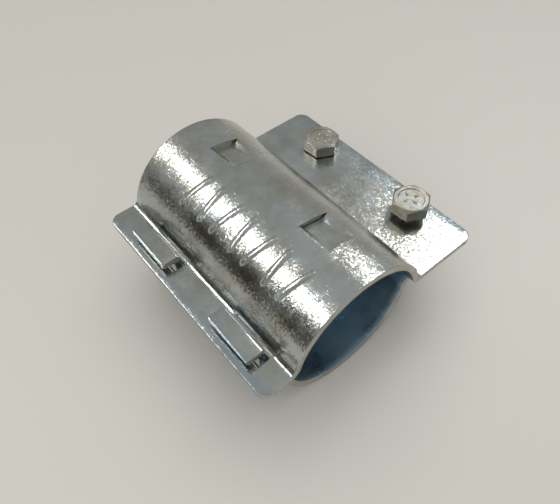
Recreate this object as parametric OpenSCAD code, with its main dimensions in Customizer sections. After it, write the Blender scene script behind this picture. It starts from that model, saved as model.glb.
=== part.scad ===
// Two-shell sleeve clamp for a 51 mm pipe, pressed from sheet steel.
// The origin is on the pipe's axis, half way along the clamp. +Y runs along the pipe,
// +X points to the bolt plate and +Z up to the shell that the bolt heads sit on.
// The lower shell's hooks stand in the upper shell's slots and two bolts close the other side.

/* [Pipe] */
// Outside diameter of the pipe that the clamp closes on
pipe_d = 51; // [45:0.5:60]

/* [Shells] */
// Thickness of the pressed sheet
sheet_t = 2.5; // [2:0.1:3]
// Length of the upper shell along the pipe
shell_length = 93; // [90:1:110]
// How far the lower shell stands back from each end of the upper one
lower_recess = 4.2; // [2:0.1:6]
// Outside radius of the bend between an arch and its flange
bend_r = 2.5; // [2:0.1:3]
// Height of the upper flanges' top face above the pipe's axis
flange_z = 5.5; // [5:0.1:6]
// Gap between the upper and lower flanges as the clamp is stored
flange_gap = 1.5; // [1.2:0.1:2]
// Distance from the pipe's axis to the upper plate's outer edge
plate_reach = 56.5; // [55:0.5:62]
// Distance from the pipe's axis to the lower plate's outer edge
lower_plate_reach = 55; // [54:0.5:60]
// Distance from the pipe's axis to the slotted flange's outer edge
flange_reach = 39.4; // [39:0.1:42]
// Radius of the flanges' corners in plan
corner_r = 4; // [2:0.5:6]

/* [Hooks] */
// Length of each hook along the pipe
hook_length = 20.8; // [18:0.1:24]
// Distance between the two hooks' centres
hook_pitch = 47; // [45:0.5:50]
// How far the pair of hooks is set off from the clamp's middle
hook_offset = -1.9; // [-2.5:0.1:2.5]
// Distance from the pipe's axis to the near face of a hook's stem
hook_x = 30; // [29.8:0.1:30.6]
// Reach of a hook's bar from the near face of its stem
hook_reach = 6.8; // [6:0.1:8]
// Clear height under a hook's bar
hook_lift = 1.85; // [1.5:0.05:2.5]
// Clearance of a slot past each end of its hook
slot_end_gap = 1.3; // [1:0.1:2]

/* [Grip tabs] */
// Length of a pressed grip tab along the pipe
tab_length = 13.5; // [10:0.5:16]
// Width of a pressed grip tab round the arch, in degrees
tab_sweep = 24; // [18:1:30]
// Where a tab's middle lies round the arch, in degrees from the bolt side
tab_angle = 79; // [70:1:90]
// Depth of a tab at its sheared end
tab_depth = 2; // [1:0.1:2.1]
// Width of the slit at a tab's sheared end
tab_slit = 0.8; // [0.5:0.1:1.2]

/* [Bolts] */
// Nominal thread diameter
thread_d = 8; // [8:1:8]
// Length of a bolt under its head
bolt_length = 30; // [30:1:31]
// Width of the heads and nuts across their flats
across_flats = 13; // [13:1:13]
// Height of a bolt head
head_h = 5.3; // [5:0.1:5.6]
// Height of a nut
nut_h = 6.5; // [6:0.1:6.8]
// Outside diameter of a washer
washer_d = 16; // [15:0.5:17]
// Thickness of a washer
washer_t = 1.6; // [1.4:0.1:2]
// Distance from the pipe's axis to the bolts' axes
bolt_x = 47.2; // [46:0.1:48]
// Distance between the two bolts
bolt_pitch = 48; // [44:1:50]
// How far the near bolt's head stands off the plate
near_head_lift = 2.3; // [1:0.1:3]
// Turn of the near bolt's head about its axis, in degrees
near_head_turn = 34; // [0:1:59]
// Turn of the far bolt's head about its axis, in degrees
far_head_turn = 33; // [0:1:59]

/* [Hidden] */
smooth = 96;
over = 1;
far_past = 200;
bore_r = pipe_d / 2;
arch_r = bore_r + sheet_t;
lower_flange_z = 2 * sheet_t - flange_z + flange_gap;
lower_length = shell_length - 2 * lower_recess;
bar_z = flange_z + hook_lift;
stem_out_x = hook_x + sheet_t;
hook_corner_r = 0.8;
shoulder_r = 1.2;
inner_bend_r = 0.8;
slot_in_x = hook_x - 0.8;
slot_out_x = stem_out_x + 1.9;
clearance_d = thread_d + 1;
slot_play = 3.6;
thread_fit = 0.08;
seat_gap = 0.1;
nut_gap = 0.3;
face_d = 0.95 * across_flats;
corner_slope = 0.6;
lower_corner_r = 1;
thread_chamfer = 0.8;
bolt_y = bolt_pitch / 2;
washer_bore_d = thread_d + 0.4;
washer_z = -lower_flange_z - nut_gap - washer_t;
zinc = "silver";
steel = "gainsboro";

// Centre of the bend beside an arch whose flange's outer face is at face_z.
function bend_centre(face_z) =
    [sqrt(pow(arch_r + bend_r, 2) - pow(face_z + bend_r, 2)), face_z + bend_r];

// The area between the pipe's axis and a bend, on one side of the line to the bend's centre.
module beside_axis(c, reach) {
    polygon([[0, 0], [c[0], c[1]], [c[0], reach], [0, reach]]);
}

// The air outside an arch, in the crook of its bend and over its flange, on the +X side.
module outside_air(c, face_z) {
    translate([c[0], face_z]) square(far_past);
    translate(c) circle(r = bend_r, $fn = smooth);
    difference() {
        beside_axis(c, far_past);
        circle(r = arch_r, $fn = smooth);
    }
}

// The air under a bend, out to where its flange begins, on the +X side.
module inside_air(c) {
    difference() {
        beside_axis(c, -far_past);
        translate(c) circle(r = bend_r + sheet_t, $fn = smooth);
    }
}

// Section across the pipe of an upper shell: an arch, its two bends and its two flanges.
module shell_section(face_z, left_x, right_x) {
    c = bend_centre(face_z);
    difference() {
        translate([-left_x, face_z - sheet_t]) square([left_x + right_x, arch_r + sheet_t]);
        circle(r = bore_r, $fn = smooth);
        for (side = [0, 1]) mirror([side, 0]) {
            outside_air(c, face_z);
            inside_air(c);
        }
    }
}

// A section across the pipe, drawn in X and Z, made a bar of the given length along Y.
module along_pipe(length) {
    rotate([90, 0, 0]) translate([0, 0, -length / 2]) linear_extrude(height = length) children();
}

// Plan of a shell with its four corners rounded, as a tall block.
module plan_block(left_x, right_x, length, r) {
    translate([0, 0, -far_past]) linear_extrude(height = 2 * far_past) {
        for (x = [r - left_x, right_x - r], y = [r - length / 2, length / 2 - r]) {
            translate([x, y]) circle(r = r, $fn = smooth);
        }
        translate([-left_x, r - length / 2]) square([left_x + right_x, length - 2 * r]);
        translate([r - left_x, -length / 2]) square([left_x + right_x - 2 * r, length]);
    }
}

// Places its children at each hook's middle.
module at_hooks() {
    for (y = [hook_offset - hook_pitch / 2, hook_offset + hook_pitch / 2]) {
        translate([0, y, 0]) children();
    }
}

// Pocket of a pressed grip tab: it deepens to a slit at the tab's sheared far end.
module tab_pocket() {
    floor_r = arch_r - tab_depth;
    rotate([90, 0, 0]) rotate([0, 0, tab_angle - tab_sweep / 2]) mirror([0, 0, 1]) {
        rotate_extrude(angle = tab_sweep, $fn = smooth) {
            polygon([[arch_r + over, -tab_length / 2], [arch_r, -tab_length / 2],
                [floor_r, tab_length / 2 - tab_slit], [bore_r - over, tab_length / 2 - tab_slit],
                [bore_r - over, tab_length / 2], [arch_r + over, tab_length / 2]]);
        }
    }
}

module upper_shell() {
    color(zinc) difference() {
        intersection() {
            along_pipe(shell_length) shell_section(flange_z, flange_reach, plate_reach);
            plan_block(flange_reach, plate_reach, shell_length, corner_r);
        }
        at_hooks() translate([-slot_out_x, -hook_length / 2 - slot_end_gap, 0]) {
            cube([slot_out_x - slot_in_x, hook_length + 2 * slot_end_gap, 2 * flange_z]);
        }
        for (y = [-bolt_y, bolt_y]) {
            translate([bolt_x, y, 0]) cylinder(h = 2 * flange_z, d = clearance_d, $fn = smooth);
            translate([0, y, 0]) tab_pocket();
        }
    }
}

// Section of a hook: a stem up through the slot and a bar bent outwards over the flange.
module hook_section() {
    top_z = bar_z + sheet_t;
    difference() {
        union() {
            translate([-stem_out_x, -lower_flange_z]) square([sheet_t, top_z - shoulder_r + lower_flange_z]);
            translate([-hook_x - hook_reach, bar_z]) square([hook_reach - shoulder_r, sheet_t]);
            intersection() {
                translate([-hook_x - shoulder_r, top_z - shoulder_r]) circle(r = shoulder_r, $fn = smooth);
                translate([-hook_x - shoulder_r, top_z - shoulder_r]) square(shoulder_r);
            }
        }
        translate([-stem_out_x - inner_bend_r, bar_z - inner_bend_r]) {
            circle(r = inner_bend_r, $fn = smooth);
        }
    }
}

// Plan of a hook with its two outer corners rounded, as a tall block.
module hook_plan() {
    far_x = hook_x + hook_reach;
    for (y = [hook_corner_r - hook_length / 2, hook_length / 2 - hook_corner_r]) {
        translate([hook_corner_r - far_x, y, -far_past]) {
            cylinder(h = 2 * far_past, r = hook_corner_r, $fn = smooth);
        }
    }
    translate([-far_x, hook_corner_r - hook_length / 2, -far_past]) {
        cube([hook_reach, hook_length - 2 * hook_corner_r, 2 * far_past]);
    }
    translate([hook_corner_r - far_x, -hook_length / 2, -far_past]) {
        cube([hook_reach - hook_corner_r, hook_length, 2 * far_past]);
    }
}

// Slotted clearance hole in the lower plate, longer across the pipe.
module lower_hole() {
    for (x = [-slot_play / 2, slot_play / 2]) {
        translate([x, 0, -flange_z]) cylinder(h = 2 * flange_z, d = clearance_d, $fn = smooth);
    }
    translate([-slot_play / 2, -clearance_d / 2, -flange_z]) cube([slot_play, clearance_d, 2 * flange_z]);
}

module lower_shell() {
    color(zinc) {
        difference() {
            intersection() {
                mirror([0, 0, 1]) along_pipe(lower_length) {
                    shell_section(lower_flange_z, stem_out_x, lower_plate_reach);
                }
                plan_block(stem_out_x, lower_plate_reach, lower_length, lower_corner_r);
            }
            for (y = [-bolt_y, bolt_y]) translate([bolt_x, y, 0]) lower_hole();
        }
        at_hooks() intersection() {
            along_pipe(hook_length) hook_section();
            hook_plan();
        }
    }
}

// Hexagon prism whose top corners are turned down to a chamfer.
module hex_prism(height) {
    hex_r = across_flats / 2 / cos(30);
    rise = (hex_r - face_d / 2) * corner_slope;
    intersection() {
        cylinder(h = height, r = hex_r, $fn = 6);
        union() {
            translate([0, 0, -over]) cylinder(h = height - rise + over, r = hex_r + over, $fn = smooth);
            translate([0, 0, height - rise - over * corner_slope]) {
                cylinder(h = rise + over * corner_slope, r1 = hex_r + over, r2 = face_d / 2, $fn = smooth);
            }
        }
    }
}

// Hexagon-head bolt, threaded up to its head, hanging down from z = 0.
module bolt(turn) {
    rotate([0, 0, turn]) hex_prism(head_h);
    translate([0, 0, thread_chamfer - bolt_length]) {
        cylinder(h = bolt_length - thread_chamfer, d = thread_d, $fn = smooth);
    }
    translate([0, 0, -bolt_length]) {
        cylinder(h = thread_chamfer, d1 = thread_d - 2 * thread_chamfer, d2 = thread_d, $fn = smooth);
    }
}

module bolt_near() {
    color(steel) translate([bolt_x, -bolt_y, flange_z + near_head_lift]) bolt(near_head_turn);
}

module bolt_far() {
    color(steel) translate([bolt_x, bolt_y, flange_z + seat_gap]) bolt(far_head_turn);
}

module washer() {
    difference() {
        cylinder(h = washer_t, d = washer_d, $fn = smooth);
        translate([0, 0, -over]) cylinder(h = washer_t + 2 * over, d = washer_bore_d, $fn = smooth);
    }
}

module washer_near() {
    color(zinc) translate([bolt_x, -bolt_y, washer_z]) washer();
}

module washer_far() {
    color(zinc) translate([bolt_x, bolt_y, washer_z]) washer();
}

// Hexagon nut that hangs down from z = 0.
module nut() {
    difference() {
        mirror([0, 0, 1]) hex_prism(nut_h);
        translate([0, 0, -nut_h - over]) {
            cylinder(h = nut_h + 2 * over, d = thread_d + 2 * thread_fit, $fn = smooth);
        }
    }
}

module nut_near() {
    color(steel) translate([bolt_x, -bolt_y, washer_z]) nut();
}

module nut_far() {
    color(steel) translate([bolt_x, bolt_y, washer_z]) nut();
}

upper_shell();
lower_shell();
bolt_near();
bolt_far();
washer_near();
washer_far();
nut_near();
nut_far();
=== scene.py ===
"""Pipe repair clamp: two pressed half shells, hooked on one side and bolted on the other.

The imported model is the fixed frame. Each of its nodes is replaced here by a piece with real
sheet-metal detail: rolled bends, sheared edges, pressed grip tabs, threads and turned chamfers.
"""

import logging
import math
from collections.abc import Callable
from dataclasses import dataclass, field
from enum import Enum

import bmesh
import bpy
from mathutils import Matrix, Vector


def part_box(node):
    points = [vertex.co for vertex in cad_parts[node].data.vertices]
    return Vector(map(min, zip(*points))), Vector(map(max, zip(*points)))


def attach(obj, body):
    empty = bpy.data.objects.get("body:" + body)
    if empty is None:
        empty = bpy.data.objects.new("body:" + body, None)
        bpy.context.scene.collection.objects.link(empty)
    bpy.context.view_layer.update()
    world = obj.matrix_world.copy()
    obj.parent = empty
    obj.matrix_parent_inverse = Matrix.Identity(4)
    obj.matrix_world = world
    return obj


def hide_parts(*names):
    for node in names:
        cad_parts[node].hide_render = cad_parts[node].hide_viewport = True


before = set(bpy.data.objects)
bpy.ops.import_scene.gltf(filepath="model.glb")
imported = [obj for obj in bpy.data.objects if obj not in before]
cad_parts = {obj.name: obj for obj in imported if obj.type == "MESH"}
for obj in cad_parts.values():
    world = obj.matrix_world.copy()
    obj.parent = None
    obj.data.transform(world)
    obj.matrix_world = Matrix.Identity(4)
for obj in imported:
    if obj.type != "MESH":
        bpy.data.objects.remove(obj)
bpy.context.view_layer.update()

MM = 0.001
WELD = 0.01 * MM
HOLE_STEPS = 40
CUT_DEPTH = 60.0
CORNER_OVERRUN = 0.02
HEAD_TURNS = {"near": 34.0, "far": 33.0}
log = logging.getLogger("clamp")


# ---------------------------------------------------------------- small tools


def linear(hex_colour: str) -> tuple[float, float, float, float]:
    """Turns an sRGB hex colour into linear RGBA.

    Args:
        hex_colour: Six hex digits after a hash sign.

    Returns:
        Red, green, blue and an alpha of one.
    """
    channels = [int(hex_colour[i : i + 2], 16) / 255 for i in (1, 3, 5)]
    decoded = [c / 12.92 if c <= 0.04045 else ((c + 0.055) / 1.055) ** 2.4 for c in channels]
    return (*decoded, 1.0)


def add_node(
    tree: bpy.types.NodeTree,
    kind: str,
    inputs: dict[str | int, object] | None = None,
    **settings: object,
) -> bpy.types.Node:
    """Adds a node, sets it and links it.

    Args:
        tree: The node tree.
        kind: The node's type name.
        inputs: Values for its sockets, or output sockets to link into them.
        **settings: The node's own properties.

    Returns:
        The new node.
    """
    node = tree.nodes.new(kind)
    for name, value in settings.items():
        setattr(node, name, value)
    for name, value in (inputs or {}).items():
        if isinstance(value, bpy.types.NodeSocket):
            tree.links.new(value, node.inputs[name])
        else:
            node.inputs[name].default_value = value
    return node


def smooth_step(low: float, high: float, value: float) -> float:
    """Rises from 0 at low to 1 at high with level ends."""
    t = min(1.0, max(0.0, (value - low) / (high - low)))
    return t * t * (3 - 2 * t)


def distance_to_segment(point: Vector, start: Vector, end: Vector) -> float:
    """Gives the distance in the plane from a point to a straight segment.

    Args:
        point: The point.
        start: One end of the segment.
        end: The other end.

    Returns:
        The distance, in the points' own unit.
    """
    along = end - start
    t = (point - start).dot(along) / along.length_squared
    return (point - start - along * min(1.0, max(0.0, t))).length


def choose(first: bpy.types.Object, *others: bpy.types.Object) -> None:
    """Selects just the given objects and makes the first one active.

    Args:
        first: The object that becomes active.
        *others: More objects to select.
    """
    bpy.ops.object.select_all(action="DESELECT")
    for obj in (first, *others):
        obj.select_set(True)
    bpy.context.view_layer.objects.active = first


class Pick(Enum):
    """What a selection in edit mode is made of."""

    VERTS = "VERT"
    EDGES = "EDGE"
    FACES = "FACE"


class Bench:
    """One mesh object on the bench, shaped with edit-mode operators."""

    def __init__(self, name: str, add: Callable[..., object], **primitive: object) -> None:
        """Adds a primitive and opens it in edit mode.

        Args:
            name: The piece's name.
            add: The operator that adds the primitive.
            **primitive: The operator's own arguments.
        """
        if bpy.context.mode != "OBJECT":
            bpy.ops.object.mode_set(mode="OBJECT")
        bpy.ops.object.select_all(action="DESELECT")
        add(**primitive)
        self.obj = bpy.context.object
        self.obj.name = name
        self.obj.data.name = name
        bpy.ops.object.transform_apply(location=True, rotation=True, scale=True)
        bpy.ops.object.mode_set(mode="EDIT")
        bpy.ops.mesh.select_mode(type=Pick.VERTS.value)
        bpy.ops.mesh.select_all(action="SELECT")

    @classmethod
    def reopen(cls, obj: bpy.types.Object) -> "Bench":
        """Puts a finished mesh back on the bench in edit mode.

        Args:
            obj: The mesh object.

        Returns:
            The bench that holds it.
        """
        bench = cls.__new__(cls)
        bench.obj = obj
        choose(obj)
        bpy.ops.object.mode_set(mode="EDIT")
        return bench

    def pick(self, kind: Pick, test: Callable[[object], bool]) -> int:
        """Selects just the elements that pass a test.

        Args:
            kind: Vertices, edges or faces.
            test: Says whether a BMesh element is taken.

        Returns:
            How many elements were taken.
        """
        bpy.ops.mesh.select_mode(type=kind.value)
        bpy.ops.mesh.select_all(action="DESELECT")
        shape = bmesh.from_edit_mesh(self.obj.data)
        elements = {Pick.VERTS: shape.verts, Pick.EDGES: shape.edges, Pick.FACES: shape.faces}[kind]
        taken = [element for element in elements if test(element)]
        for element in taken:
            element.select_set(True)
        shape.select_flush_mode()
        bmesh.update_edit_mesh(self.obj.data)
        return len(taken)

    def extrude(self, x: float = 0, y: float = 0, z: float = 0) -> None:
        """Extrudes the selection by a step in millimetres."""
        bpy.ops.mesh.extrude_region_move(TRANSFORM_OT_translate={"value": (x * MM, y * MM, z * MM)})

    def close(self) -> bpy.types.Object:
        """Leaves edit mode and returns the object."""
        bpy.ops.object.mode_set(mode="OBJECT")
        return self.obj


def cylinder(
    name: str,
    radius: float,
    depth: float,
    middle: tuple[float, float, float] = (0, 0, 0),
    vertices: int = 96,
) -> Bench:
    """Puts an upright cylinder on the bench.

    Args:
        name: Its name.
        radius: Its radius, in millimetres.
        depth: Its height.
        middle: Its centre.
        vertices: How many corners it has round it.

    Returns:
        The bench that holds it.
    """
    return Bench(
        name,
        bpy.ops.mesh.primitive_cylinder_add,
        vertices=vertices,
        radius=radius * MM,
        depth=depth * MM,
        location=[c * MM for c in middle],
    )


def apply_modifier(obj: bpy.types.Object, kind: str, **settings: object) -> None:
    """Adds a modifier to a piece and applies it.

    Args:
        obj: The piece.
        kind: The modifier's type name.
        **settings: The modifier's own properties.
    """
    choose(obj)
    modifier = obj.modifiers.new(kind.lower(), kind)
    for name, value in settings.items():
        setattr(modifier, name, value)
    bpy.ops.object.modifier_apply(modifier=modifier.name)


def shade(obj: bpy.types.Object, sharp_degrees: float = 32) -> None:
    """Shades a piece smooth across edges flatter than an angle."""
    choose(obj)
    bpy.ops.object.shade_smooth_by_angle(angle=math.radians(sharp_degrees))


def join(first: bpy.types.Object, *others: bpy.types.Object) -> bpy.types.Object:
    """Joins pieces into the first and returns it.

    Args:
        first: The piece that the others go into.
        *others: The pieces that are used up.

    Returns:
        The first piece.
    """
    choose(first, *others)
    bpy.ops.object.join()
    return first


def dress(obj: bpy.types.Object, finishes: list[bpy.types.Material]) -> None:
    """Gives a piece its materials, in the order of its slots."""
    for finish in finishes:
        obj.data.materials.append(finish)


# ---------------------------------------------------------------- finishes


@dataclass(frozen=True)
class ZincSheet:
    """Bright zinc-plated pressed steel sheet.

    Barrel plating over cold-rolled sheet stays mirror-like, with a grain that frosts it in
    patches, a faint straw and blue passivation tint and fine handling scratches.
    """

    name: str = "bright_zinc_plated_pressed_sheet"
    bright: str = "#c6cac9"
    straw: str = "#b3afa3"
    blue: str = "#a9b4ba"
    grain_mm: float = 0.42
    frost_patch_mm: float = 17.0
    tint_patch_mm: float = 11.0
    scratch_mm: float = 0.35
    mirror_roughness: float = 0.19
    frost_roughness: float = 0.27
    calm_tilt: float = 0.08
    frost_tilt: float = 0.19

    def build(self) -> bpy.types.Material:
        """Makes the material's nodes.

        Returns:
            The material.
        """
        material = bpy.data.materials.new(self.name)
        material.use_nodes = True
        tree = material.node_tree
        tree.nodes.clear()
        place = add_node(tree, "ShaderNodeTexCoord").outputs["Object"]
        frost = self._patches(tree, place, self.frost_patch_mm, 0.42, 0.62)
        tint = self._patches(tree, place, self.tint_patch_mm, 0.35, 0.7)
        stretched = add_node(
            tree,
            "ShaderNodeMapping",
            {"Vector": place, "Rotation": (0.3, 0.5, 0.9), "Scale": (1.0, 0.045, 0.3)},
        ).outputs["Vector"]
        scratch = add_node(
            tree,
            "ShaderNodeTexNoise",
            {"Vector": stretched, "Scale": 1 / (self.scratch_mm * MM), "Detail": 1.0},
        ).outputs["Fac"]
        scratches = add_node(
            tree,
            "ShaderNodeMapRange",
            {"Value": scratch, "From Min": 0.66, "From Max": 0.74},
        ).outputs["Result"]
        colour = self._mix(tree, tint, linear(self.bright), linear(self.straw))
        cool = self._patches(tree, stretched, 1.6 * self.tint_patch_mm, 0.5, 0.72)
        colour = self._mix(tree, cool, colour, linear(self.blue))
        roughness = add_node(
            tree,
            "ShaderNodeMapRange",
            {"Value": frost, "To Min": self.mirror_roughness, "To Max": self.frost_roughness},
        ).outputs["Result"]
        faceted = self._facets(tree, place, frost)
        bump = add_node(
            tree,
            "ShaderNodeBump",
            {"Strength": 0.5, "Distance": 0.02 * MM, "Height": scratches, "Normal": faceted},
            invert=True,
        ).outputs["Normal"]
        shader = add_node(
            tree,
            "ShaderNodeBsdfPrincipled",
            {"Base Color": colour, "Metallic": 1.0, "Roughness": roughness, "Normal": bump},
        )
        add_node(tree, "ShaderNodeOutputMaterial", {"Surface": shader.outputs["BSDF"]})
        return material

    def _facets(
        self,
        tree: bpy.types.NodeTree,
        place: bpy.types.NodeSocket,
        frost: bpy.types.NodeSocket,
    ) -> bpy.types.NodeSocket:
        """Tilts the normal a little in every crystal, more where the sheet is frosted.

        Args:
            tree: The material's node tree.
            place: Object coordinates.
            frost: How frosted the surface is, from 0 to 1.

        Returns:
            The tilted normal.
        """
        crystals = add_node(
            tree, "ShaderNodeTexVoronoi", {"Vector": place, "Scale": 1 / (self.grain_mm * MM)}
        ).outputs["Color"]
        centred = add_node(
            tree,
            "ShaderNodeVectorMath",
            {0: crystals, 1: (0.5, 0.5, 0.5)},
            operation="SUBTRACT",
        ).outputs["Vector"]
        tilt = add_node(
            tree,
            "ShaderNodeMapRange",
            {"Value": frost, "To Min": self.calm_tilt, "To Max": self.frost_tilt},
        ).outputs["Result"]
        tilted = add_node(
            tree,
            "ShaderNodeVectorMath",
            {0: centred, "Scale": tilt},
            operation="SCALE",
        ).outputs["Vector"]
        surface = add_node(tree, "ShaderNodeNewGeometry").outputs["Normal"]
        summed = add_node(
            tree,
            "ShaderNodeVectorMath",
            {0: surface, 1: tilted},
            operation="ADD",
        ).outputs["Vector"]
        return add_node(
            tree, "ShaderNodeVectorMath", {0: summed}, operation="NORMALIZE"
        ).outputs["Vector"]

    @staticmethod
    def _patches(
        tree: bpy.types.NodeTree,
        place: bpy.types.NodeSocket,
        size_mm: float,
        low: float,
        high: float,
    ) -> bpy.types.NodeSocket:
        """Makes soft-edged patches of about one size, as a factor from 0 to 1.

        Args:
            tree: The material's node tree.
            place: Coordinates to lay them out on.
            size_mm: Their size.
            low: Noise value where a patch begins.
            high: Noise value where it is full.

        Returns:
            The factor.
        """
        noise = add_node(
            tree,
            "ShaderNodeTexNoise",
            {"Vector": place, "Scale": 1 / (size_mm * MM), "Detail": 4.0, "Roughness": 0.62},
        )
        limits = {"Value": noise.outputs["Fac"], "From Min": low, "From Max": high}
        return add_node(tree, "ShaderNodeMapRange", limits).outputs["Result"]

    @staticmethod
    def _mix(
        tree: bpy.types.NodeTree,
        factor: bpy.types.NodeSocket,
        first: object,
        second: object,
    ) -> bpy.types.NodeSocket:
        """Mixes two colours by a factor."""
        inputs = {0: factor, 6: first, 7: second}
        return add_node(tree, "ShaderNodeMix", inputs, data_type="RGBA").outputs[2]


@dataclass(frozen=True)
class ZincFastener(ZincSheet):
    """Zinc-plated cold-headed steel: satin, warmer than the sheet, with fine pits."""

    name: str = "zinc_plated_cold_headed_steel"
    bright: str = "#a9a69b"
    straw: str = "#979080"
    blue: str = "#99a1a0"
    grain_mm: float = 0.4
    frost_patch_mm: float = 4.0
    tint_patch_mm: float = 5.0
    mirror_roughness: float = 0.4
    frost_roughness: float = 0.52
    calm_tilt: float = 0.1
    frost_tilt: float = 0.24


@dataclass(frozen=True)
class InsideWithPaintedBlueReflection(ZincSheet):
    """The pressing's pipe side: the sheet's blue passivation tint pushed bluer, as painted
    reflection of the bluish light seen in the bore.
    """

    name: str = "zinc_inside_painted_blue_reflection"
    # Painted reflection: these colours are bluer than the sheet's to stand in for the blue light
    # reflected inside the bore.
    bright: str = "#bdd0dc"
    straw: str = "#adbfc9"
    blue: str = "#a2bccd"
    mirror_roughness: float = 0.26
    frost_roughness: float = 0.4
    calm_tilt: float = 0.05
    frost_tilt: float = 0.12


@dataclass(frozen=True)
class ShearedEdge(ZincSheet):
    """Sheared and fractured sheet edge, plated: duller than the faces, streaked across."""

    name: str = "zinc_plated_sheared_edge"
    bright: str = "#c4c4bd"
    straw: str = "#a9a394"
    blue: str = "#9fa7a8"
    grain_mm: float = 0.3
    frost_patch_mm: float = 3.0
    mirror_roughness: float = 0.3
    frost_roughness: float = 0.45
    calm_tilt: float = 0.1
    frost_tilt: float = 0.3


@dataclass(frozen=True)
class PaleTable:
    """Pale matt laminate table top that the clamp lies on."""

    name: str = "pale_matt_laminate"
    colour: str = "#d7d5d2"
    roughness: float = 0.55

    def build(self) -> bpy.types.Material:
        """Makes the material's nodes.

        Returns:
            The material.
        """
        material = bpy.data.materials.new(self.name)
        material.use_nodes = True
        shader = material.node_tree.nodes["Principled BSDF"]
        shader.inputs["Base Color"].default_value = linear(self.colour)
        shader.inputs["Roughness"].default_value = self.roughness
        return material


# ---------------------------------------------------------------- shells


@dataclass
class Sheet:
    """Sizes that both shells share, in millimetres and degrees."""

    pipe_r: float = 25.5
    thickness: float = 2.5
    bend_r: float = 2.5
    fine_step: float = 0.45
    coarse_step: float = 1.6
    edge_round: float = 0.28

    @property
    def arch_r(self) -> float:
        """Outside radius of an arch."""
        return self.pipe_r + self.thickness

    def bend_centre(self, face_z: float) -> tuple[float, float]:
        """Gives the centre of the bend beside an arch whose flange's outer face is at face_z."""
        height = face_z + self.bend_r
        return math.sqrt((self.arch_r + self.bend_r) ** 2 - height**2), height

    def stations(self, start: float, end: float, stops: list[float], step: float) -> list[float]:
        """Divides a length so that every stop has its own station.

        Args:
            start: Where the length begins.
            end: Where it ends.
            stops: Places that need a station.
            step: The longest distance between stations.

        Returns:
            The stations in order, both ends included.
        """
        marks = sorted({start, end, *stops})
        found = [marks[0]]
        for low, high in zip(marks, marks[1:]):
            count = max(1, round((high - low) / step))
            found += [low + (high - low) * (i + 1) / count for i in range(count)]
        return found

    def line(self, name: str, x: float, z: float, stations: list[float]) -> Bench:
        """Starts a sheet as one line of points along the pipe.

        Args:
            name: The piece's name.
            x: The line's X, in millimetres.
            z: The line's Z.
            stations: Where its points lie along Y.

        Returns:
            The bench, with the whole line selected.
        """
        bench = Bench(name, bpy.ops.mesh.primitive_plane_add, size=MM)
        bpy.ops.mesh.merge(type="CENTER")
        bpy.ops.transform.translate(value=(x * MM, stations[0] * MM, z * MM))
        for low, high in zip(stations, stations[1:]):
            bench.extrude(y=high - low)
        bpy.ops.mesh.select_all(action="SELECT")
        return bench

    def roll(self, centre_x: float, centre_z: float, degrees: float, steps: int) -> None:
        """Rolls the sheet's leading edge round a centre; positive turns +X towards +Z.

        Args:
            centre_x: The centre's X, in millimetres.
            centre_z: The centre's Z.
            degrees: How far it is rolled.
            steps: How many facets the bend has.
        """
        bpy.ops.mesh.spin(
            steps=steps,
            angle=math.radians(degrees),
            center=(centre_x * MM, 0, centre_z * MM),
            axis=(0, 1, 0),
        )

    @staticmethod
    def finish_skin(bench: Bench) -> bpy.types.Object:
        """Welds an outer skin and turns it to face away from the pipe.

        Args:
            bench: The skin on the bench.

        Returns:
            The skin as an object.
        """
        bpy.ops.mesh.select_mode(type=Pick.VERTS.value)
        bpy.ops.mesh.select_all(action="SELECT")
        bpy.ops.mesh.remove_doubles(threshold=WELD)
        bpy.ops.mesh.normals_make_consistent(inside=False)
        obj = bench.close()
        outermost = max(obj.data.polygons, key=lambda face: abs(face.center.z))
        if outermost.normal.z * outermost.center.z < 0:
            bpy.ops.object.mode_set(mode="EDIT")
            bpy.ops.mesh.select_all(action="SELECT")
            bpy.ops.mesh.flip_normals()
            bpy.ops.object.mode_set(mode="OBJECT")
        return obj

    def thicken(self, obj: bpy.types.Object) -> None:
        """Gives an outer skin its thickness: rim in the second material slot, inside in the third.

        Args:
            obj: The skin.
        """
        apply_modifier(
            obj,
            "SOLIDIFY",
            thickness=self.thickness * MM,
            offset=-1,
            use_even_offset=True,
            material_offset_rim=1,
            material_offset=2,
        )

    def round_edges(self, obj: bpy.types.Object) -> None:
        """Rounds the sheared edges a little and shades the piece.

        Args:
            obj: The thickened sheet.
        """

        def sheared(edge: bmesh.types.BMEdge) -> bool:
            """Says whether an edge is sheared and off the tabs and marks."""
            middle = (edge.verts[0].co + edge.verts[1].co) / 2 / MM
            on_arch = middle.z > self.arch_r / 2 and abs(middle.y) < self.arch_r * 1.5
            return len(edge.link_faces) == 2 and edge.calc_face_angle() > 0.9 and not on_arch

        bench = Bench.reopen(obj)
        bench.pick(Pick.EDGES, sheared)
        bpy.ops.mesh.bevel(offset=self.edge_round * MM, segments=2, affect="EDGES")
        bench.close()
        shade(obj)


@dataclass
class GripTab:
    """A tab pressed towards the pipe: deepest at its sheared far end, with drafted sides."""

    middle_y: float
    length: float = 13.5
    middle_degrees: float = 79.0
    sweep_degrees: float = 24.0
    depth: float = 2.0
    slit: float = 0.45
    draft: float = 0.34

    @property
    def near_y(self) -> float:
        """Where the tab leaves the arch."""
        return self.middle_y - self.length / 2

    @property
    def far_y(self) -> float:
        """Where the tab is sheared from the arch."""
        return self.middle_y + self.length / 2

    def weight(self, y: float, degrees: float) -> float:
        """Gives how far a point of the arch is pressed in, from 0 to 1.

        Args:
            y: Its place along the pipe, in millimetres.
            degrees: Its place round the arch, from +X.

        Returns:
            The share of the full depth.
        """
        if not self.near_y < y < self.far_y:
            return 0.0
        across = abs(degrees - self.middle_degrees) / (self.sweep_degrees / 2)
        down = (y - self.near_y) / (self.length - self.slit)
        return min(1.0, down) ** 0.5 * min(1.0, max(0.0, (1 - across) / self.draft))


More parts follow.
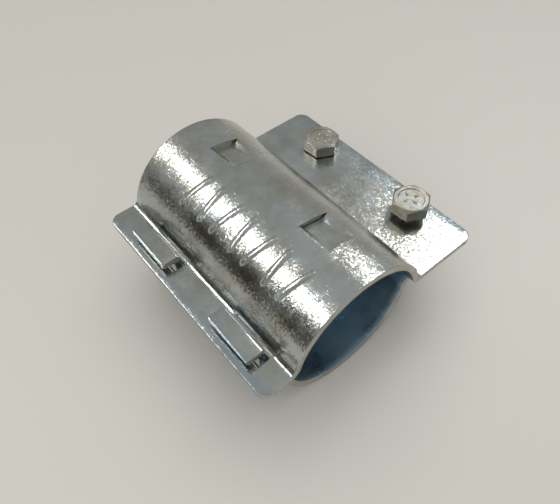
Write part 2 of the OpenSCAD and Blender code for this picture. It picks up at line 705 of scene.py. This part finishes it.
@dataclass
class PressedMark:
    """A plain raised bar on the arch: its ends round the arch and along the pipe, in millimetres."""

    start: tuple[float, float]
    end: tuple[float, float]
    half_width: float = 0.8
    shoulder: float = 0.4

    def weight(self, round_arch: float, y: float) -> float:
        """Gives how far a point is raised, from 0 to 1."""
        gap = distance_to_segment(Vector((round_arch, y)), Vector(self.start), Vector(self.end))
        return 1 - smooth_step(self.half_width - self.shoulder, self.half_width + self.shoulder, gap)


@dataclass
class UpperShell:
    """The upper half shell: slotted flange, arch with two grip tabs, and bolt plate."""

    sheet: Sheet = field(default_factory=Sheet)
    length: float = 93.0
    face_z: float = 5.5
    flange_reach: float = 39.4
    plate_reach: float = 56.5
    corner_r: float = 4.0
    slot_out_x: float = 34.4
    slot_length: float = 23.4
    slot_middles: tuple[float, float] = (-25.4, 21.6)
    tabs: tuple[GripTab, GripTab] = (GripTab(-24.0), GripTab(24.0))
    bolt_x: float = 47.2
    bolt_y: float = 24.0
    hole_d: float = 9.0
    fine_from: float = 62.0
    fine_to: float = 141.0
    mark_height: float = 0.42
    mark_degrees: float = 121.0
    mark_length: float = 12.5
    mark_pitch: float = 8.6
    mark_count: int = 7
    mark_start_y: float = -31.0

    def marks(self) -> list[PressedMark]:
        """Lays out a row of plain bars, upright and slanted by turns.

        Returns:
            The bars, from the near end.
        """
        middle = math.radians(self.mark_degrees) * self.sheet.arch_r
        half = self.mark_length / 2
        row = []
        for i in range(self.mark_count):
            y = self.mark_start_y + i * self.mark_pitch
            slant = 0.0 if i % 2 else 1.8
            row.append(PressedMark((middle - half, y - slant), (middle + half, y + slant)))
        return row

    def build(self, finishes: list[bpy.types.Material]) -> bpy.types.Object:
        """Forms the shell from its flange over the arch to its plate.

        Args:
            finishes: Its outer, sheared and inner finish.

        Returns:
            The finished shell.
        """
        sheet = self.sheet
        half = self.length / 2
        stops = [y + side * self.slot_length / 2 for y in self.slot_middles for side in (-1, 1)]
        for tab in self.tabs:
            stops += [tab.near_y, tab.far_y - tab.slit, tab.far_y]
        stations = sheet.stations(-half, half, stops, sheet.fine_step)
        bench = sheet.line("upper_shell_pressing", -self.flange_reach, self.face_z, stations)
        bend_x, bend_z = sheet.bend_centre(self.face_z)
        lean = math.degrees(math.atan2(bend_z, bend_x))
        bench.extrude(x=(self.flange_reach - self.slot_out_x) / 2)
        bench.extrude(x=(self.flange_reach - self.slot_out_x) / 2)
        bench.extrude(x=(self.slot_out_x - bend_x) / 2)
        bench.extrude(x=(self.slot_out_x - bend_x) / 2)
        sheet.roll(-bend_x, bend_z, 90 - lean, 8)
        for start, end, step in (
            (180 - lean, self.fine_to, sheet.coarse_step),
            (self.fine_to, self.fine_from, sheet.fine_step),
            (self.fine_from, lean, sheet.coarse_step),
        ):
            arc = math.radians(start - end) * sheet.arch_r
            sheet.roll(0, 0, end - start, round(arc / step))
        sheet.roll(bend_x, bend_z, 90 - lean, 8)
        for _ in range(6):
            bench.extrude(x=(self.plate_reach - bend_x) / 6)
        bench.pick(Pick.FACES, self._in_gap)
        bpy.ops.mesh.delete(type="FACE")
        obj = sheet.finish_skin(bench)
        self._press(obj)
        dress(obj, finishes)
        sheet.thicken(obj)
        self._cut(obj)
        sheet.round_edges(obj)
        return obj

    def _in_gap(self, face: bmesh.types.BMFace) -> bool:
        """Says whether a face lies in a slot of the flange or in the slit of a grip tab.

        Args:
            face: A face of the outer skin.

        Returns:
            True where the sheet is open.
        """
        middle = face.calc_center_median() / MM
        bend_x, _ = self.sheet.bend_centre(self.face_z)
        if -self.slot_out_x < middle.x < -bend_x:
            return any(abs(middle.y - y) < self.slot_length / 2 for y in self.slot_middles)
        degrees = math.degrees(math.atan2(middle.z, middle.x))
        return any(
            tab.far_y - tab.slit < middle.y < tab.far_y
            and abs(degrees - tab.middle_degrees) < tab.sweep_degrees / 2
            and middle.length > self.sheet.pipe_r
            for tab in self.tabs
        )

    def _press(self, obj: bpy.types.Object) -> None:
        """Presses the grip tabs in and the row of marks out.

        Args:
            obj: The outer skin.
        """
        marks = self.marks()
        pressed: dict[int, float] = {}
        proud: dict[int, float] = {}
        for vertex in obj.data.vertices:
            x, y, z = vertex.co / MM
            degrees = math.degrees(math.atan2(z, x))
            if not self.fine_from <= degrees <= self.fine_to:
                continue
            round_arch = math.radians(degrees) * self.sheet.arch_r
            pressed[vertex.index] = max(tab.weight(y, degrees) for tab in self.tabs)
            proud[vertex.index] = max(mark.weight(round_arch, y) for mark in marks)
        for name, weights, height in (
            ("tabs", pressed, -self.tabs[0].depth),
            ("marks", proud, self.mark_height),
        ):
            group = obj.vertex_groups.new(name=name)
            for index, weight in weights.items():
                group.add([index], weight, "REPLACE")
            apply_modifier(
                obj,
                "DISPLACE",
                vertex_group=name,
                strength=height * MM,
                mid_level=0,
                direction="NORMAL",
            )

    def _cut(self, obj: bpy.types.Object) -> None:
        """Drills the bolt holes and rounds the four corners.

        Args:
            obj: The thickened sheet.
        """
        cutters = []
        for side in (-1, 1):
            middle = (self.bolt_x, side * self.bolt_y, 0)
            drill = cylinder("drill", self.hole_d / 2, 4 * self.face_z, middle, HOLE_STEPS)
            cutters.append(drill.close())
            for x in (-self.flange_reach, self.plate_reach):
                cutters.append(corner_cutter(x, side * self.length / 2, self.corner_r))
        cut(obj, cutters)


def corner_cutter(x: float, y: float, radius: float) -> bpy.types.Object:
    """Makes the block that rounds one plan corner.

    Args:
        x: The corner's X, in millimetres.
        y: The corner's Y.
        radius: The radius wanted.

    Returns:
        A block over the corner, hollowed by a cylinder that just crosses both edges.
    """
    out_x, out_y = math.copysign(1, x), math.copysign(1, y)
    inset = radius - CORNER_OVERRUN
    centre = (x - out_x * inset, y - out_y * inset)
    side = 2 * radius
    block = Bench(
        "corner_block",
        bpy.ops.mesh.primitive_cube_add,
        size=1,
        location=((centre[0] + out_x * side / 2) * MM, (centre[1] + out_y * side / 2) * MM, 0),
        scale=(side * MM, side * MM, CUT_DEPTH * MM),
    ).close()
    steps = 4 * max(3, round(2.5 * radius))
    bar = cylinder("corner_bar", radius, CUT_DEPTH + 20, (*centre, 0), steps)
    cut(block, [bar.close()])
    return block


def cut(obj: bpy.types.Object, cutters: list[bpy.types.Object]) -> None:
    """Subtracts cutters from a piece and removes them.

    Args:
        obj: The piece.
        cutters: Closed meshes to take away from it.
    """
    for cutter in cutters:
        apply_modifier(obj, "BOOLEAN", object=cutter, operation="DIFFERENCE", solver="EXACT")
        bpy.data.objects.remove(cutter)


@dataclass
class Hook:
    """One hook of the lower shell: a stem up through the slot and a bar over the flange."""

    middle_y: float
    length: float = 20.8
    inner_x: float = -30.0
    stem_x: float = -32.5
    bar_x: float = -36.8
    foot_z: float = -0.9
    bar_z: float = 7.35
    top_z: float = 9.85
    shoulder_r: float = 1.1
    crook_r: float = 0.8
    corner_r: float = 0.8
    edge_round: float = 0.25

    def build(self) -> bpy.types.Object:
        """Shapes the hook from a block.

        Returns:
            The hook.
        """
        middle = ((self.inner_x + self.stem_x) / 2, self.middle_y, (self.foot_z + self.top_z) / 2)
        bench = Bench(
            "hook",
            bpy.ops.mesh.primitive_cube_add,
            size=1,
            location=[c * MM for c in middle],
            scale=(
                (self.inner_x - self.stem_x) * MM,
                self.length * MM,
                (self.top_z - self.foot_z) * MM,
            ),
        )
        bpy.ops.mesh.select_all(action="SELECT")
        bpy.ops.mesh.bisect(plane_co=(0, 0, self.bar_z * MM), plane_no=(0, 0, 1))
        bench.pick(
            Pick.FACES,
            lambda f: f.normal.x < -0.9 and f.calc_center_median().z > self.bar_z * MM,
        )
        bench.extrude(x=self.bar_x - self.stem_x)
        self._round_edge(bench, (self.inner_x, None, self.top_z), self.shoulder_r)
        self._round_edge(bench, (self.stem_x, None, self.bar_z), self.crook_r)
        for side in (-1, 1):
            y = self.middle_y + side * self.length / 2
            self._round_edge(bench, (self.bar_x, y, None), self.corner_r)
        hook = bench.close()
        apply_modifier(
            hook,
            "BEVEL",
            width=self.edge_round * MM,
            segments=2,
            limit_method="ANGLE",
            angle_limit=math.radians(60),
        )
        return hook

    @staticmethod
    def _round_edge(bench: Bench, place: tuple[float | None, ...], radius: float) -> None:
        """Rounds the straight edge that lies at the given coordinates.

        Args:
            bench: The hook on the bench.
            place: The edge's X, Y and Z, with None for the one it runs along.
            radius: The radius, in millimetres.
        """

        def at_place(edge: bmesh.types.BMEdge) -> bool:
            """Says whether both ends of an edge lie at the given coordinates."""
            return all(
                abs(vertex.co[axis] / MM - value) < 0.01
                for vertex in edge.verts
                for axis, value in enumerate(place)
                if value is not None
            )

        bench.pick(Pick.EDGES, at_place)
        bpy.ops.mesh.bevel(offset=radius * MM, segments=5, affect="EDGES")


@dataclass
class LowerShell:
    """The lower half shell: a short lip with two hooks, the arch and the lower bolt plate."""

    sheet: Sheet = field(default_factory=Sheet)
    length: float = 84.6
    face_z: float = -1.0
    lip_x: float = 32.5
    plate_reach: float = 55.0
    corner_r: float = 1.0
    hooks: tuple[Hook, Hook] = (Hook(-25.4), Hook(21.6))
    bolt_x: float = 47.2
    bolt_y: float = 24.0
    hole_d: float = 9.0
    hole_play: float = 3.6
    punch_depth: float = 20.0

    def build(self, finishes: list[bpy.types.Material]) -> bpy.types.Object:
        """Forms the shell from its lip under the pipe to its plate.

        Args:
            finishes: Its outer, sheared and inner finish.

        Returns:
            The finished shell.
        """
        sheet = self.sheet
        half = self.length / 2
        stations = sheet.stations(-half, half, [], 2 * sheet.coarse_step)
        bench = sheet.line("lower_shell_pressing", -self.lip_x, self.face_z, stations)
        bend_x, bend_z = sheet.bend_centre(-self.face_z)
        lean = math.degrees(math.atan2(bend_z, bend_x))
        bench.extrude(x=self.lip_x - bend_x)
        sheet.roll(-bend_x, -bend_z, lean - 90, 8)
        arc = math.radians(180 - 2 * lean) * sheet.arch_r
        sheet.roll(0, 0, 180 - 2 * lean, round(arc / sheet.coarse_step) + 12)
        sheet.roll(bend_x, -bend_z, lean - 90, 8)
        for _ in range(6):
            bench.extrude(x=(self.plate_reach - bend_x) / 6)
        obj = sheet.finish_skin(bench)
        dress(obj, finishes)
        sheet.thicken(obj)
        self._cut(obj)
        sheet.round_edges(obj)
        hooks = [hook.build() for hook in self.hooks]
        for hook in hooks:
            dress(hook, finishes)
        join(obj, *hooks)
        shade(obj)
        return obj

    def _cut(self, obj: bpy.types.Object) -> None:
        """Cuts the slotted bolt holes and rounds the plate's corners.

        Args:
            obj: The thickened sheet.
        """
        cutters = []
        for side in (-1, 1):
            inner_x = self.bolt_x - self.hole_play / 2
            middle = (inner_x, side * self.bolt_y, 0)
            bench = cylinder("slot_punch", self.hole_d / 2, self.punch_depth, middle, HOLE_STEPS)
            bench.pick(Pick.VERTS, lambda v, inner_x=inner_x: v.co.x > inner_x * MM)
            bpy.ops.transform.translate(value=(self.hole_play * MM, 0, 0))
            cutters.append(bench.close())
            for x in (-self.lip_x, self.plate_reach):
                cutters.append(corner_cutter(x, side * self.length / 2, self.corner_r))
        cut(obj, cutters)


# ---------------------------------------------------------------- fasteners


@dataclass
class Hexagon:
    """A hexagon blank, 13 mm across its flats, with turned corners."""

    height: float
    across_flats: float = 13.0
    face_share: float = 0.94
    slope: float = 0.58
    edge_round: float = 0.18
    both_ends: bool = False

    @property
    def corner_r(self) -> float:
        """Radius over the corners."""
        return self.across_flats / 2 / math.cos(math.radians(30))

    def build(self, name: str, foot_z: float = 0.0) -> bpy.types.Object:
        """Cuts the blank from a turned bar.

        Args:
            name: The blank's name.
            foot_z: Height of its lower face, in millimetres.

        Returns:
            The blank.
        """
        middle = (0, 0, foot_z + self.height / 2)
        bench = Bench(
            name,
            bpy.ops.mesh.primitive_cylinder_add,
            vertices=6,
            radius=self.corner_r * MM,
            depth=self.height * MM,
            location=[c * MM for c in middle],
            rotation=(0, 0, math.radians(30)),
        )
        bench.pick(Pick.EDGES, lambda e: abs(e.verts[0].co.z - e.verts[1].co.z) > MM)
        bpy.ops.mesh.bevel(offset=self.edge_round * MM, segments=3, affect="EDGES")
        hexagon = bench.close()
        turned_r = self.corner_r + 0.3
        face_r = self.across_flats / 2 * self.face_share
        bench = cylinder("turned_bar", turned_r, self.height, middle)
        for end in (1, -1) if self.both_ends else (1,):
            bench.pick(Pick.FACES, lambda f, end=end: f.normal.z * end > 0.9)
            bpy.ops.mesh.inset(thickness=(turned_r - face_r) * MM)
            rim_z = (foot_z + self.height if end > 0 else foot_z) * MM
            bench.pick(
                Pick.VERTS,
                lambda v, rim_z=rim_z: abs(v.co.z - rim_z) < 0.01 * MM
                and v.co.xy.length > (face_r + 0.2) * MM,
            )
            bpy.ops.transform.translate(value=(0, 0, -end * (turned_r - face_r) * self.slope * MM))
        if not self.both_ends:
            bench.pick(Pick.VERTS, lambda v: v.co.z < (foot_z + 0.1) * MM)
            bpy.ops.transform.translate(value=(0, 0, -MM))
        bar = bench.close()
        apply_modifier(hexagon, "BOOLEAN", object=bar, operation="INTERSECT", solver="EXACT")
        bpy.data.objects.remove(bar)
        return hexagon


@dataclass
class HexBolt:
    """A fully threaded M8 hexagon-head bolt that hangs from the plate."""

    name: str
    turn: float
    head: Hexagon = field(default_factory=lambda: Hexagon(height=4.9))
    washer_face: float = 0.4
    washer_face_r: float = 6.0
    overlap: float = 0.2
    dish_r: float = 4.9
    dish_depth: float = 0.28
    length: float = 30.0
    pitch: float = 1.25
    crest_r: float = 3.95
    root_r: float = 3.3
    root_top: float = 0.6
    flank_share: float = 0.42
    tip_steps: tuple[tuple[float, float], ...] = ((0.9, 0.94), (0.6, 0.93), (0.3, 0.92))
    pip_r: float = 0.62
    pip_circle_r: float = 2.3
    axis_x: float = 47.2

    def build(self, axis_y: float, seat_z: float) -> bpy.types.Object:
        """Makes the bolt in its place.

        Args:
            axis_y: The bolt's Y, in millimetres.
            seat_z: Height of the underside of its head.

        Returns:
            The bolt.
        """
        head = self._head()
        thread = self._thread()
        bolt = join(head, thread)
        bolt.name = self.name
        bolt.data.name = self.name
        bolt.location = (self.axis_x * MM, axis_y * MM, seat_z * MM)
        bolt.rotation_euler = (0, 0, math.radians(self.turn))
        bpy.ops.object.transform_apply(location=True, rotation=True, scale=True)
        shade(bolt, 28)
        return bolt

    def _head(self) -> bpy.types.Object:
        """Makes the dished hexagon head with its washer face.

        Returns:
            The head, its seat at Z zero.
        """
        head = self.head.build("head", self.washer_face)
        top = self.washer_face + self.head.height
        punch = Bench(
            "dish_punch",
            bpy.ops.mesh.primitive_cone_add,
            vertices=72,
            radius1=(self.dish_r - self.dish_depth) * MM,
            radius2=(self.dish_r + self.dish_depth) * MM,
            depth=2 * self.dish_depth * MM,
            location=(0, 0, top * MM),
        ).close()
        cut(head, [punch])
        depth = self.washer_face + self.overlap
        disc = cylinder("washer_face", self.washer_face_r, depth, (0, 0, depth / 2)).close()
        return join(head, disc, *self._pips())

    def _pips(self) -> list[bpy.types.Object]:
        """Makes the small plain raised pips in the head's dish.

        Returns:
            The pips.
        """
        top = self.washer_face + self.head.height - self.dish_depth
        circle = self.pip_circle_r * MM
        pips = []
        for i in range(4):
            angle = math.radians(45 + 90 * i)
            pips.append(
                Bench(
                    "pip",
                    bpy.ops.mesh.primitive_uv_sphere_add,
                    segments=16,
                    ring_count=8,
                    radius=self.pip_r * MM,
                    location=(circle * math.cos(angle), circle * math.sin(angle), top * MM),
                    scale=(1.5, 1.0, 0.5),
                    rotation=(0, 0, angle),
                ).close()
            )
        return pips

    def _thread(self) -> bpy.types.Object:
        """Cuts the thread and chamfers its tip.

        The flat caps at its two ends are not watertight: a few of their edges stay open.

        Returns:
            The thread, hanging from Z zero.
        """
        bench = Bench("thread", bpy.ops.mesh.primitive_plane_add, size=MM)
        bpy.ops.mesh.merge(type="CENTER")
        start = -self.length - self.pitch
        bpy.ops.transform.translate(value=(self.root_r * MM, 0, start * MM))
        rise = self.crest_r - self.root_r
        flank = self.flank_share * self.pitch
        flat = (self.pitch - 2 * flank) / 2
        bench.extrude(x=rise, z=flank)
        bench.extrude(z=flat)
        bench.extrude(x=-rise, z=flank)
        bench.extrude(z=flat)
        thread = bench.close()
        apply_modifier(
            thread,
            "SCREW",
            angle=math.tau,
            screw_offset=self.pitch * MM,
            iterations=math.ceil(self.length / self.pitch) + 2,
            steps=32,
            render_steps=32,
            use_merge_vertices=True,
            merge_threshold=WELD,
        )
        bpy.ops.object.mode_set(mode="EDIT")
        bpy.ops.mesh.select_all(action="SELECT")
        bpy.ops.mesh.remove_doubles(threshold=WELD)
        for height, keep_above in ((-self.length, True), (self.root_top, False)):
            bpy.ops.mesh.select_all(action="SELECT")
            bpy.ops.mesh.bisect(
                plane_co=(0, 0, height * MM),
                plane_no=(0, 0, 1),
                use_fill=True,
                clear_inner=keep_above,
                clear_outer=not keep_above,
            )
        bpy.ops.mesh.select_all(action="SELECT")
        bpy.ops.mesh.normals_make_consistent(inside=False)
        for reach, share in self.tip_steps:
            limit = (reach - self.length) * MM
            bench.pick(Pick.VERTS, lambda v, limit=limit: v.co.z < limit)
            bpy.ops.transform.resize(value=(share, share, 1), center_override=(0, 0, 0))
        return bench.close()


@dataclass
class Nut:
    """A hexagon nut chamfered at both ends."""

    name: str
    blank: Hexagon = field(default_factory=lambda: Hexagon(height=6.5, both_ends=True))
    bore_r: float = 4.08
    countersink: float = 0.5
    cut_over: float = 0.02
    axis_x: float = 47.2

    def build(self, axis_y: float, top_z: float) -> bpy.types.Object:
        """Makes the nut under a washer.

        Args:
            axis_y: The nut's Y, in millimetres.
            top_z: Height of its upper face.

        Returns:
            The nut.
        """
        nut = self.blank.build(self.name)
        drill = cylinder("tap_drill", self.bore_r, 4 * self.blank.height, vertices=64)
        cut(nut, [drill.close()])
        for z, r1, r2 in (
            (self.countersink / 2, self.bore_r + self.countersink, self.bore_r),
            (self.blank.height - self.countersink / 2, self.bore_r, self.bore_r + self.countersink),
        ):
            cone = Bench(
                "countersink",
                bpy.ops.mesh.primitive_cone_add,
                vertices=64,
                radius1=(r1 + self.cut_over) * MM,
                radius2=(r2 + self.cut_over) * MM,
                depth=(self.countersink + self.cut_over) * MM,
                location=(0, 0, z * MM),
            )
            cut(nut, [cone.close()])
        nut.location = (self.axis_x * MM, axis_y * MM, (top_z - self.blank.height) * MM)
        choose(nut)
        bpy.ops.object.transform_apply(location=True, rotation=True, scale=True)
        shade(nut, 28)
        return nut


@dataclass
class Washer:
    """A stamped plain washer with its edges rounded."""

    name: str
    radius: float = 8.0
    bore_r: float = 4.2
    thickness: float = 1.6
    edge_round: float = 0.3
    axis_x: float = 47.2

    def build(self, axis_y: float, foot_z: float) -> bpy.types.Object:
        """Makes the washer in its place.

        Args:
            axis_y: The washer's Y, in millimetres.
            foot_z: Height of its lower face.

        Returns:
            The washer.
        """
        middle = (self.axis_x, axis_y, foot_z + self.thickness / 2)
        washer = cylinder(self.name, self.radius, self.thickness, middle).close()
        punch = cylinder("punch", self.bore_r, 4 * self.thickness, middle, vertices=64)
        cut(washer, [punch.close()])
        apply_modifier(
            washer,
            "BEVEL",
            width=self.edge_round * MM,
            segments=3,
            limit_method="ANGLE",
            angle_limit=math.radians(40),
        )
        shade(washer)
        return washer


# ---------------------------------------------------------------- studio


def heading(azimuth: float, elevation: float) -> Vector:
    """Gives the direction at an azimuth from +X towards +Y and a height above the table.

    Args:
        azimuth: Degrees round the upright axis.
        elevation: Degrees above the table.

    Returns:
        A unit vector.
    """
    around, up = math.radians(azimuth), math.radians(elevation)
    return Vector(
        (math.cos(up) * math.cos(around), math.cos(up) * math.sin(around), math.sin(up))
    )


@dataclass(frozen=True)
class Panel:
    """A flat light that faces the clamp: placed in degrees and metres."""

    name: str
    azimuth: float
    elevation: float
    distance: float
    size: tuple[float, float]
    watts: float
    colour: str = "#ffffff"
    lights_table: bool = True
    shows_in_metal: bool = True

    def hang(self) -> None:
        """Adds the light to the scene."""
        light = bpy.data.lights.new(self.name, "AREA")
        light.shape = "RECTANGLE"
        light.size, light.size_y = self.size
        light.energy = self.watts
        light.color = linear(self.colour)[:3]
        obj = bpy.data.objects.new(self.name, light)
        bpy.context.scene.collection.objects.link(obj)
        away = heading(self.azimuth, self.elevation)
        obj.location = away * self.distance
        obj.rotation_euler = away.to_track_quat("Z", "Y").to_euler()
        obj.visible_diffuse = self.lights_table
        obj.visible_glossy = self.shows_in_metal


@dataclass
class Studio:
    """Table, soft lights and camera."""

    floor_z: float = -28.0
    sky: tuple[tuple[float, str], ...] = (
        (0.0, "#b4b3ae"),
        (0.15, "#a8a8a3"),
        (0.4, "#989a98"),
        (0.65, "#9fa2a1"),
        (1.0, "#b2b5b5"),
    )
    corner_azimuth: float = 151.0
    corner_elevation: float = 9.0
    corner_edge: float = 0.915
    corner_core: float = 0.985
    corner_colour: str = "#2a261c"
    panels: tuple[Panel, ...] = (
        Panel("streak_panel", 136.5, 44.5, 0.7, (0.5, 0.11), 1.5, lights_table=False),
        Panel("plate_panel", 9, 49, 0.8, (0.18, 0.26), 2.2, lights_table=False),
        Panel("ceiling_panel", 30, 76, 1.2, (1.6, 1.6), 8.5, "#fff9ee", shows_in_metal=False),
        Panel("left_panel", 200, 42, 1.0, (0.9, 0.9), 2.6, "#fff9ee", shows_in_metal=False),
    )
    camera_mm: tuple[float, float, float] = (-72.33, -100.1, 155.87)
    yaw: float = 37.66
    down: float = 52.10
    roll: float = -2.37
    lens: float = 34.74

    def build(self) -> None:
        """Sets up the table, the light and the camera."""
        self._floor()
        self._room()
        self._camera()

    def _floor(self) -> None:
        """Lays the table top under the clamp."""
        floor = Bench(
            "table_top",
            bpy.ops.mesh.primitive_plane_add,
            size=3,
            location=(0, 0, self.floor_z * MM),
        ).close()
        floor.data.materials.append(PaleTable().build())

    def _room(self) -> None:
        """Makes a soft room: pale ceiling, a darker far corner and the lights."""
        world = bpy.data.worlds.new("soft_room")
        bpy.context.scene.world = world
        world.use_nodes = True
        tree = world.node_tree
        tree.nodes.clear()
        direction = add_node(tree, "ShaderNodeTexCoord").outputs["Generated"]
        height = add_node(tree, "ShaderNodeSeparateXYZ", {0: direction}).outputs["Z"]
        ramp = add_node(tree, "ShaderNodeValToRGB", {"Fac": height})
        ramp.color_ramp.elements[0].position = self.sky[0][0]
        ramp.color_ramp.elements[1].position = self.sky[-1][0]
        for position, _ in self.sky[1:-1]:
            ramp.color_ramp.elements.new(position)
        for element, (_, colour) in zip(ramp.color_ramp.elements, self.sky):
            element.color = linear(colour)
        towards = add_node(
            tree,
            "ShaderNodeVectorMath",
            {0: direction, 1: heading(self.corner_azimuth, self.corner_elevation)},
            operation="DOT_PRODUCT",
        ).outputs["Value"]
        corner = add_node(
            tree,
            "ShaderNodeMapRange",
            {"Value": towards, "From Min": self.corner_edge, "From Max": self.corner_core},
            interpolation_type="SMOOTHSTEP",
        ).outputs["Result"]
        sky = add_node(
            tree,
            "ShaderNodeMix",
            {0: corner, 6: ramp.outputs["Color"], 7: linear(self.corner_colour)},
            data_type="RGBA",
        ).outputs[2]
        background = add_node(tree, "ShaderNodeBackground", {"Color": sky, "Strength": 1.0})
        add_node(tree, "ShaderNodeOutputWorld", {"Surface": background.outputs["Background"]})
        for panel in self.panels:
            panel.hang()

    def _camera(self) -> None:
        """Places the camera."""
        yaw, down, roll = (math.radians(a) for a in (self.yaw, self.down, self.roll))
        right = Vector((math.cos(yaw), -math.sin(yaw), 0))
        ahead = Vector(
            (math.sin(yaw) * math.cos(down), math.cos(yaw) * math.cos(down), -math.sin(down))
        )
        up = right.cross(ahead)
        tilted_right = right * math.cos(roll) + up * math.sin(roll)
        tilted_up = up * math.cos(roll) - right * math.sin(roll)
        turn = Matrix((tilted_right, tilted_up, -ahead)).transposed().to_4x4()
        data = bpy.data.cameras.new("camera")
        data.lens = self.lens
        data.sensor_width = 36.0
        camera = bpy.data.objects.new("camera", data)
        bpy.context.scene.collection.objects.link(camera)
        camera.matrix_world = Matrix.Translation(Vector(self.camera_mm) * MM) @ turn
        bpy.context.scene.camera = camera


def fit(piece: bpy.types.Object, body: str, node: str) -> None:
    """Puts a finished piece in the place of its CAD node.

    Args:
        piece: The finished mesh.
        body: The body that it rides on.
        node: The CAD node that it stands for.
    """
    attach(piece, body)
    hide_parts(node)
    log.info("%s: %d faces, stands for %s", piece.name, len(piece.data.polygons), node)


def main() -> None:
    """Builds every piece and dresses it."""
    # The third finish, for the shells' inner faces, has a blue reflection painted into its colours.
    shell_finishes = [ZincSheet().build(), ShearedEdge().build(), InsideWithPaintedBlueReflection().build()]
    fastener_finish = ZincFastener().build()
    Studio().build()
    upper = UpperShell()
    fit(upper.build(shell_finishes), "upper_shell", "upper_shell")
    fit(LowerShell().build(shell_finishes), "lower_shell", "lower_shell")
    for side, (place, turn) in zip((-1, 1), HEAD_TURNS.items()):
        axis_y = side * upper.bolt_y
        bolt = HexBolt(f"{place}_hexagon_bolt", turn)
        seat_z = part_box(f"bolt_{place}")[0].z / MM + bolt.length
        washer_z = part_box(f"washer_{place}")[0].z / MM
        pieces = (
            (bolt.build(axis_y, seat_z), f"bolt_{place}", f"bolt_{place}", "zinc_fastener"),
            (
                Washer(f"{place}_plain_washer").build(axis_y, washer_z),
                f"nut_{place}",
                f"washer_{place}",
                "zinc_washer",
            ),
            (
                Nut(f"{place}_hexagon_nut").build(axis_y, washer_z),
                f"nut_{place}",
                f"nut_{place}",
                "zinc_fastener",
            ),
        )
        for piece, body, node, slot in pieces:
            dress(piece, [fastener_finish])
            fit(piece, body, node)
    bpy.context.scene.view_settings.view_transform = "Standard"


if __name__ == "__main__":
    logging.basicConfig(level=logging.INFO, format="%(name)s: %(message)s")
    main()
